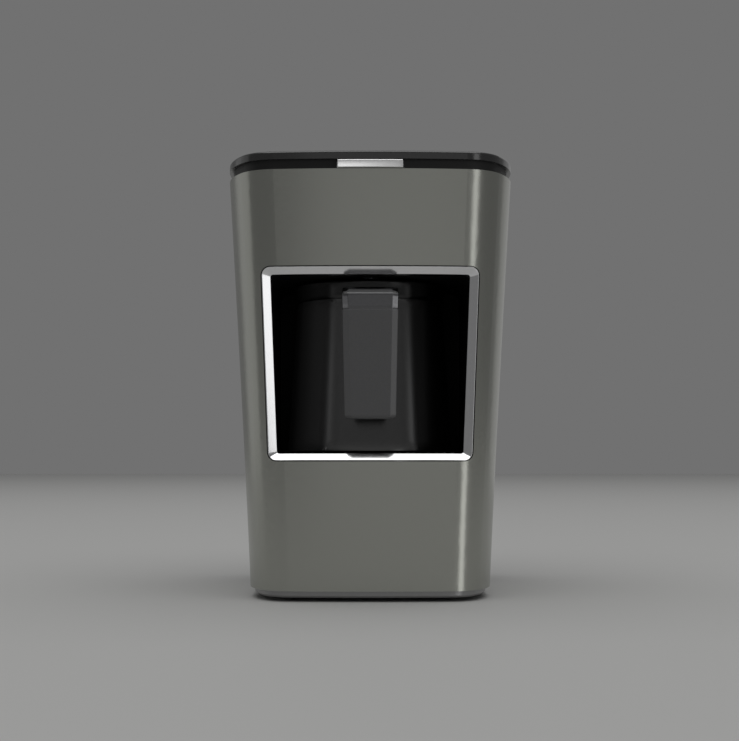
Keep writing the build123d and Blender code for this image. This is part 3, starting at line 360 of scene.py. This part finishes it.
def make_handle_cap(materials):
    """The cap over the handle: it leans back at the front above a fine rounded edge.

    Each step gives how far in the front and the sides lie, and how high, in millimetres.
    """
    low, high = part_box("handle_cap")
    foot = low.z - CAP_SKIRT
    rise = (high.z - foot) / MM
    steps = [(0.0, 0.0, 0.0), (0.0, 0.0, 0.3), (0.06, 0.02, 0.45), (0.16, 0.04, 0.56),
             (0.62, 0.08, 1.02), (0.85, 0.1, 1.2), (7.0, 0.5, rise - 0.5),
             (7.6, 0.7, rise - 0.2), (8.4, 1.1, rise)]
    rings = [handle_ring(high.x - side_in * MM, low.y + front_in * MM, high.y - side_in * MM,
                         foot + up * MM) for front_in, side_in, up in steps]
    shape = bmesh.new()
    skin(shape, rings, caps=True)
    return piece("handle_top", shape, materials["handle_metal"], "handle_metal", "coffee_pot",
                 "handle_cap", crease=45.0)


def make_handle_band(materials):
    """The glossy band under the cap, with a fine groove below it, and its tongue to the pot."""
    cap_low, cap_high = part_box("handle_cap")
    grip_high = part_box("handle_front")[1]
    pot_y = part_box("pot_rim")[0].y + TONGUE_IN_POT
    z0, z1 = grip_high.z, cap_low.z - CAP_SKIRT
    y0, y1 = cap_low.y, cap_high.y
    shape = bmesh.new()

    rings = []
    for z, inset in ((z0 - 0.1 * MM, BAND_GROOVE + 1.0 * MM), (z0 + 0.02 * MM, BAND_GROOVE),
                     (z0 + BAND_GROOVE, BAND_GROOVE),
                     (z0 + BAND_GROOVE + BAND_EDGE, BAND_EDGE * 0.3),
                     (z0 + BAND_GROOVE + 2 * BAND_EDGE, 0.0), (z1 - BAND_EDGE, 0.0),
                     (z1, BAND_EDGE * 0.3)):
        half = grip_high.x + (cap_high.x - grip_high.x) * (z - z0) / (z1 - z0) - inset
        rings.append(handle_ring(half, y0 + inset, y1 - inset, z))
    skin(shape, rings, caps=True)

    bottom, top = z0 + TONGUE_MARGIN, z1 - TONGUE_MARGIN
    tongue = [Vector(p) for p in ((-TONGUE_HALF, bottom), (TONGUE_HALF, bottom),
                                  (TONGUE_HALF, top), (-TONGUE_HALF, top))]
    loop = rounded_loop(tongue, [TONGUE_CORNER], CORNER_STEPS, (4, 3))
    skin(shape, [[Vector((x, y, z)) for x, z in loop]
                 for y in (y1 - TONGUE_IN_BAND, (y1 + pot_y) / 2, pot_y)], caps=True)
    return piece("handle_band", shape, materials["handle_metal"], "handle_metal",
                 "coffee_pot", "handle_bracket", crease=45.0)


def rounding(radius, rise):
    """How far a rounded lower edge falls back at a height above its foot."""
    return radius - math.sqrt(radius ** 2 - max(radius - rise, 0.0) ** 2)


def make_grip_front(materials):
    """The matt front half of the grip. It meets the rear half along a straight joint."""
    low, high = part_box("handle_front")
    straight = high.z - low.z - GRIP_FOOT_ROUND - GRIP_TOP_MARGIN
    levels = [low.z + rise * MM for rise in (0.0, 0.1, 0.3, 0.6, 1.0, 1.5, 2.0, 2.4, 3.0)]
    levels += [low.z + GRIP_FOOT_ROUND + straight * k / GRIP_STEPS
               for k in range(1, GRIP_STEPS + 1)]
    levels += [high.z - 0.15 * MM, high.z]
    rings = []
    for z in levels:
        half = GRIP_FOOT_HALF + (high.x - GRIP_FOOT_HALF) * (z - low.z) / (high.z - low.z)
        inset = GRIP_TOP_EDGE if z == high.z else 0.0
        rings.append(handle_ring(half - rounding(GRIP_FOOT_ROUND, z - low.z) - inset,
                                 low.y + rounding(GRIP_FACE_ROUND, z - low.z) + inset,
                                 high.y, z, rear=GRIP_JOINT_CORNER))
    shape = bmesh.new()
    skin(shape, rings, caps=True)
    return piece("grip_front", shape, materials["grip_matt"], "grip_matt", "coffee_pot",
                 "handle_front", crease=50.0)


# ---- springs -----------------------------------------------------------------------------------
SPRING_WIRE, SPRING_TURNS = 0.35 * MM, 5     # the wire's radius
SPRING_STEPS, SPRING_SIDES = 24, 8           # to a turn, and round the wire


def make_spring(name, node, body, axis, materials):
    """A coil in place of the CAD's, riding on the body of its joint."""
    low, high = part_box(node)
    along, across = Vector(axis), Vector((1.0, 0.0, 0.0))
    up = along.cross(across)
    length = (high - low).dot(along)
    radius = (high.x - low.x) / 2 - SPRING_WIRE
    start = (low + high) / 2 - along * length / 2
    pitch = (length - 2 * SPRING_WIRE) / SPRING_TURNS
    rings = []
    for k in range(SPRING_TURNS * SPRING_STEPS + 1):
        turn = 2 * math.pi * k / SPRING_STEPS
        outward = across * math.cos(turn) + up * math.sin(turn)
        around = up * math.cos(turn) - across * math.sin(turn)
        ahead = around * radius + along * pitch / (2 * math.pi)
        side = ahead.normalized().cross(outward)
        centre = start + along * (SPRING_WIRE + pitch * k / SPRING_STEPS) + outward * radius
        angles = (2 * math.pi * j / SPRING_SIDES for j in range(SPRING_SIDES))
        rings.append([centre + (outward * math.cos(a) + side * math.sin(a)) * SPRING_WIRE
                      for a in angles])
    shape = bmesh.new()
    skin(shape, rings, caps=True)
    coil = piece(name, shape, materials["steel"], "steel", body, node, crease=60.0)
    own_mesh(coil)


# ---- camera, lights and floor ------------------------------------------------------------------
LIGHTS_MIDDLE = Vector((0.0, 0.0, 0.14))
WORLD_GREY, WORLD_STRENGTH = 0.5, 0.33
FLOOR_SIZE, FLOOR_Y = 8.0, 1.0
FLOOR_COLOUR, FLOOR_ROUGHNESS = (0.62, 0.62, 0.61), 0.6


def make_camera():
    """A camera at the photograph's viewing angle."""
    data = bpy.data.cameras.new("camera")
    data.sensor_width = SENSOR
    data.lens = SENSOR * FOCAL_PIXELS / PICTURE_HEIGHT
    data.clip_start, data.clip_end = CAMERA_CLIP
    camera = bpy.data.objects.new("camera", data)
    camera.location = (CAMERA_X, FRONT - CAMERA_DISTANCE, CAMERA_HEIGHT)
    camera.rotation_euler = (math.pi / 2 + CAMERA_PITCH, 0.0, 0.0)
    bpy.context.collection.objects.link(camera)
    bpy.context.scene.camera = camera


def link_group(name, things, exclude):
    """A collection that a light keeps to, or leaves out."""
    group = bpy.data.collections.new(name)
    for thing in things:
        group.objects.link(thing)
    if exclude:
        for member in group.collection_objects:
            member.light_linking.link_state = "EXCLUDE"
    return group


def softbox(name, azimuth, elevation, distance, size, brightness, roll=0.0, only=(),
            without=(), through=(), alone=False):
    """An area light on a sphere round the object, facing its middle.

    The angles are in degrees, and azimuth 0 is the front. It may light only some things, or
    all but some. It may shine through some things, or, when it lights some things alone,
    through all others.
    """
    a, e = math.radians(azimuth), math.radians(elevation)
    away = Vector((math.sin(a) * math.cos(e), -math.cos(a) * math.cos(e), math.sin(e)))
    data = bpy.data.lights.new(name, "AREA")
    data.shape = "RECTANGLE"
    data.size, data.size_y = size
    data.energy = brightness * math.pi * size[0] * size[1]
    light = bpy.data.objects.new(name, data)
    light.location = LIGHTS_MIDDLE + away * distance
    turn = (-away).to_track_quat("-Z", "Y") @ Quaternion((0.0, 0.0, 1.0), math.radians(roll))
    light.rotation_euler = turn.to_euler()
    bpy.context.collection.objects.link(light)
    linking = light.light_linking
    if only or without:
        linking.receiver_collection = link_group(name + "_lit", only or without, bool(without))
    if alone or through:
        linking.blocker_collection = link_group(name + "_shade", through or only, bool(through))


def make_lights(floor, key, pot, handle):
    """Soft studio light, with glows that only the key, the pot or the handle catches.

    Each light gives its azimuth, elevation, distance, size, brightness, and any roll.
    """
    softbox("right_strip", 39.5, 4, 1.5, (0.36, 1.4), 0.98, without=[pot, floor],
            through=[floor])
    softbox("front_fill", 4, 6, 2.4, (1.3, 1.6), 0.175, without=[pot, floor])
    softbox("top_soft", 5, 80, 1.4, (1.5, 1.5), 1.5, without=[floor])
    softbox("left_rear", -111, 12, 1.8, (1.55, 1.3), 0.25, without=[floor])
    softbox("right_rear", 150, 12, 1.8, (1.2, 1.3), 0.21, without=[floor])
    softbox("floor_wash", 5, 84, 3.4, (5.5, 5.5), 0.86, only=[floor])
    for things, name, *place in (([key], "key_glow", -9, 6, 2.2, (0.72, 0.8), 0.75),
                                 (handle, "handle_left", -64, 5, 1.4, (1.2, 0.8), 0.3),
                                 (handle, "handle_right", 64, 5, 1.4, (1.2, 0.8), 0.95),
                                 ([pot], "pot_front", 0, 8, 1.2, (2.4, 0.8), 0.05),
                                 ([pot], "pot_left", -71, 10.5, 1.2, (0.3, 0.6), 0.5, 60),
                                 ([pot], "pot_glow", -94, 8, 1.2, (0.9, 0.9), 0.6),
                                 ([pot], "pot_right", 69, 10.5, 1.2, (0.2, 0.6), 0.75, -60)):
        softbox(name, *place, only=things, alone=True)
    world = bpy.data.worlds.new("studio")
    world.use_nodes = True
    background = world.node_tree.nodes["Background"]
    background.inputs["Color"].default_value = (WORLD_GREY, WORLD_GREY, WORLD_GREY, 1.0)
    background.inputs["Strength"].default_value = WORLD_STRENGTH
    bpy.context.scene.world = world
    bpy.context.scene.view_settings.view_transform = "Standard"


def make_floor():
    """The plain pale floor, which isn't part of the object."""
    bpy.ops.mesh.primitive_plane_add(size=FLOOR_SIZE, location=(0.0, FLOOR_Y, 0.0))
    floor = bpy.context.object
    floor.name = "floor"
    material, _, shader = new_material("floor_pale")
    shader.inputs["Base Color"].default_value = (*FLOOR_COLOUR, 1.0)
    shader.inputs["Roughness"].default_value = FLOOR_ROUGHNESS
    floor.data.materials.append(material)
    return floor


# ---- materials ---------------------------------------------------------------------------------
EVEN, BRUSHED = (1.0, 1.0, 1.0), (1.0, 1.0, 12.0)    # brushed grain runs in fine level lines
NOISE_LOW, NOISE_HIGH = 0.3, 0.7             # most of the noise lies between these
CLEAR_GRAIN, CLEAR_DETAIL, CLEAR_IOR = 60.0, 3.0, 1.49
COLLAR_PAINTED_SHADE, SHADE_BLEND = 0.42, 0.2 * MM   # painted shade on the pot's collar, as a share of its colour, and the height it sets in over


def new_material(name):
    """A material with its node tree and shader."""
    material = bpy.data.materials.new(name)
    material.use_nodes = True
    tree = material.node_tree
    return material, tree, tree.nodes["Principled BSDF"]


def noise(tree, scale, detail=4.0, stretch=EVEN):
    """Noise in the object's own metres, finer along an axis where the stretch is over 1."""
    place = tree.nodes.new("ShaderNodeTexCoord")
    mapping = tree.nodes.new("ShaderNodeMapping")
    mapping.inputs["Scale"].default_value = stretch
    texture = tree.nodes.new("ShaderNodeTexNoise")
    texture.inputs["Scale"].default_value = scale
    texture.inputs["Detail"].default_value = detail
    tree.links.new(place.outputs["Object"], mapping.inputs["Vector"])
    tree.links.new(mapping.outputs["Vector"], texture.inputs["Vector"])
    return texture.outputs["Fac"]


def vary(tree, value, low, high):
    """Maps noise to a small range."""
    span = tree.nodes.new("ShaderNodeMapRange")
    span.inputs["From Min"].default_value = NOISE_LOW
    span.inputs["From Max"].default_value = NOISE_HIGH
    span.inputs["To Min"].default_value = low
    span.inputs["To Max"].default_value = high
    tree.links.new(value, span.inputs["Value"])
    return span.outputs["Result"]


def blend_colours(tree, value, dark, light):
    """Maps noise to the colours between two."""
    ramp = tree.nodes.new("ShaderNodeValToRGB")
    first, last = ramp.color_ramp.elements
    first.position, first.color = NOISE_LOW, (*dark, 1.0)
    last.position, last.color = NOISE_HIGH, (*light, 1.0)
    tree.links.new(value, ramp.inputs["Fac"])
    return ramp.outputs["Color"]


def bump(tree, shader, value, height):
    """Makes noise a relief of that many metres."""
    node = tree.nodes.new("ShaderNodeBump")
    node.inputs["Distance"].default_value = height
    node.inputs["Strength"].default_value = 1.0
    tree.links.new(value, node.inputs["Height"])
    tree.links.new(node.outputs["Normal"], shader.inputs["Normal"])


def surface(name, dark, light, rough, metallic=0.0, grain=900.0, microns=20.0,
            stretch=EVEN, specular=0.5):
    """A finish with fine grain, which varies its colour, gloss and height a little."""
    material, tree, shader = new_material(name)
    shader.inputs["Metallic"].default_value = metallic
    shader.inputs["Specular IOR Level"].default_value = specular
    value = noise(tree, grain, stretch=stretch)
    tree.links.new(blend_colours(tree, value, dark, light), shader.inputs["Base Color"])
    tree.links.new(vary(tree, value, *rough), shader.inputs["Roughness"])
    bump(tree, shader, value, microns * MICRON)
    return material


def paint_shade_above(material, height, share):
    """Paints shade: takes the colour above a height down to a share of itself."""
    tree = material.node_tree
    socket = tree.nodes["Principled BSDF"].inputs["Base Color"]
    place = tree.nodes.new("ShaderNodeTexCoord")
    split = tree.nodes.new("ShaderNodeSeparateXYZ")
    step = tree.nodes.new("ShaderNodeMapRange")
    step.inputs["From Min"].default_value = height - SHADE_BLEND
    step.inputs["From Max"].default_value = height + SHADE_BLEND
    step.inputs["To Min"].default_value = 1.0
    step.inputs["To Max"].default_value = share
    scale = tree.nodes.new("ShaderNodeVectorMath")
    scale.operation = "SCALE"
    tree.links.new(place.outputs["Object"], split.inputs["Vector"])
    tree.links.new(split.outputs["Z"], step.inputs["Value"])
    tree.links.new(socket.links[0].from_socket, scale.inputs[0])
    tree.links.new(step.outputs["Result"], scale.inputs["Scale"])
    tree.links.new(scale.outputs["Vector"], socket)


def clear(name, colour, rough, transmission):
    """A clear or smoky plastic."""
    material, tree, shader = new_material(name)
    value = noise(tree, CLEAR_GRAIN, CLEAR_DETAIL)
    shader.inputs["Base Color"].default_value = (*colour, 1.0)
    shader.inputs["Transmission Weight"].default_value = transmission
    shader.inputs["IOR"].default_value = CLEAR_IOR
    tree.links.new(vary(tree, value, *rough), shader.inputs["Roughness"])
    return material


# Each finish: a dark and a light colour, the roughness from and to, how metallic it is, and the
# grain's scale and height where they aren't the usual ones.
FINISHES = {
    "shell_metal": dict(dark=(0.385, 0.39, 0.355), light=(0.425, 0.432, 0.395),
                        rough=(0.235, 0.27), metallic=1.0, grain=350.0, microns=0.6,
                        stretch=BRUSHED),
    "frame_chrome": dict(dark=(0.80, 0.80, 0.81), light=(0.84, 0.84, 0.85),
                         rough=(0.09, 0.13), metallic=1.0, grain=700.0, microns=0.5),
    "liner_black": dict(dark=(0.005, 0.005, 0.005), light=(0.009, 0.009, 0.009),
                        rough=(0.5, 0.65), grain=1500.0, microns=10.0, specular=0.2),
    "black_gloss": dict(dark=(0.012, 0.012, 0.012), light=(0.018, 0.018, 0.018),
                        rough=(0.14, 0.2), grain=900.0, microns=0.6, specular=0.9),
    "black_matt": dict(dark=(0.010, 0.010, 0.010), light=(0.018, 0.018, 0.018),
                       rough=(0.45, 0.6), grain=1800.0, microns=10.0, specular=0.35),
    "base_grey": dict(dark=(0.31, 0.31, 0.31), light=(0.35, 0.35, 0.35),
                      rough=(0.28, 0.35), metallic=0.4, grain=1800.0, microns=4.0),
    "key_metal": dict(dark=(0.78, 0.78, 0.78), light=(0.88, 0.88, 0.88),
                      rough=(0.18, 0.26), metallic=1.0, grain=400.0, microns=2.0,
                      stretch=BRUSHED),
    "pot_metal": dict(dark=(0.095, 0.095, 0.095), light=(0.12, 0.12, 0.12),
                      rough=(0.20, 0.26), metallic=1.0, grain=1200.0, microns=2.0),
    "handle_metal": dict(dark=(0.125, 0.125, 0.13), light=(0.155, 0.155, 0.16),
                         rough=(0.11, 0.15), metallic=1.0, grain=800.0, microns=0.5),
    "grip_matt": dict(dark=(0.078, 0.078, 0.080), light=(0.096, 0.096, 0.098),
                      rough=(0.30, 0.38), grain=2200.0, microns=4.0, specular=0.32),
    "plate_dark": dict(dark=(0.012, 0.012, 0.012), light=(0.02, 0.02, 0.02),
                       rough=(0.45, 0.6), grain=1500.0, microns=10.0, specular=0.2),
    "steel": dict(dark=(0.5, 0.5, 0.51), light=(0.62, 0.62, 0.63), rough=(0.25, 0.35),
                  metallic=1.0),
    "aluminium": dict(dark=(0.6, 0.6, 0.61), light=(0.7, 0.7, 0.71), rough=(0.3, 0.42),
                      metallic=1.0),
    "rubber_black": dict(dark=(0.012, 0.012, 0.012), light=(0.02, 0.02, 0.02),
                         rough=(0.7, 0.85), grain=1500.0),
    "silicone": dict(dark=(0.6, 0.6, 0.57), light=(0.68, 0.68, 0.65), rough=(0.4, 0.5)),
    "board_green": dict(dark=(0.02, 0.13, 0.06), light=(0.03, 0.17, 0.08), rough=(0.3, 0.45)),
    "white_plastic": dict(dark=(0.62, 0.62, 0.6), light=(0.7, 0.7, 0.68), rough=(0.35, 0.5)),
}
CLEAR_FINISHES = {
    "tank_smoke": dict(colour=(0.42, 0.42, 0.43), rough=(0.056, 0.084), transmission=0.94),
    "lens_clear": dict(colour=(0.8, 0.85, 0.9), rough=(0.12, 0.18), transmission=0.6),
}

# Finishes that differ from the node's slot: a dark coating, and a duller recessed band.
OWN_FINISH = {"hot_plate": "plate_dark", "top_collar": "black_matt", "tank_rim": "black_matt"}


def make_materials():
    """A material for each finish, by name."""
    made = {name: surface(name, **finish) for name, finish in FINISHES.items()}
    made.update({name: clear(name, **finish) for name, finish in CLEAR_FINISHES.items()})
    return made


def dress_nodes(materials):
    """Gives every CAD node the finish of its slot, or its own."""
    for part in frame["record"]["subparts"]:
        name = part["node"]
        for slot in frame["nodes"][name].material_slots:
            slot.material = materials[OWN_FINISH.get(name, part["material_slot"])]


# ---- the scene ---------------------------------------------------------------------------------
materials = make_materials()
# Painted shade: the pot's colour is taken darker above the collar's foot.
paint_shade_above(materials["pot_metal"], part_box("pot_rim")[0].z, COLLAR_PAINTED_SHADE)
dress_nodes(materials)
make_window_frame(materials)
key = make_start_key(materials)
pot = make_pot(materials)
handle = [make_handle_cap(materials), make_handle_band(materials), make_grip_front(materials)]
make_spring("start_key_coil", "start_key_spring", "start_key", (0.0, 1.0, 0.0), materials)
make_spring("valve_coil", "valve_spring", "water_tank", (0.0, 0.0, 1.0), materials)
make_camera()
make_lights(make_floor(), key, pot, handle)
